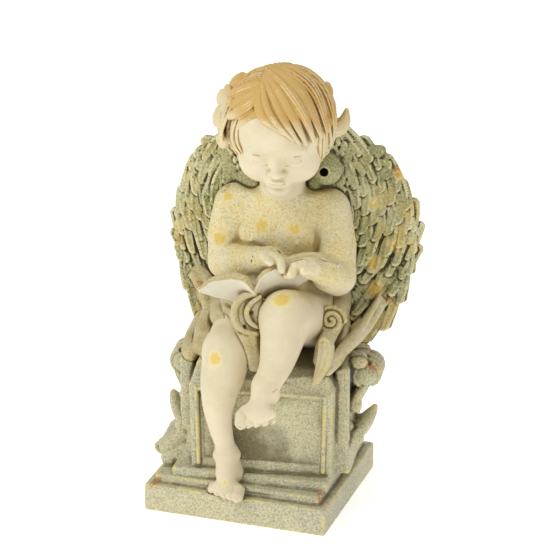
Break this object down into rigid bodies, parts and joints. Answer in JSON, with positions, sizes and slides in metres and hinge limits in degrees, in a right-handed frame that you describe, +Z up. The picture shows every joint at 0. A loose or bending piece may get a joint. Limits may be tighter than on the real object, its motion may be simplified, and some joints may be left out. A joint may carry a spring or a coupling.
{
  "type": "reading angel figurine",
  "caption": "Winged child seated with crossed legs on a scrolled block over a square plinth, reading an open book held on the lap.",
  "frame": {"origin": "centre of the plinth's underside, which rests on the floor", "axes": "+Z up, +X along the plinth's width towards the child's left, -Y towards the viewer in front of the child's feet"},
  "size_m": [0.1482, 0.1201, 0.2721],
  "materials": {
    "painted_resin": "matt cast resin painted to look like weathered stone, with golden ochre and grey green brushed over cream"
  },
  "bodies": {
    "root": {"reading_angel": "painted_resin"}
  },
  "joints": []
}
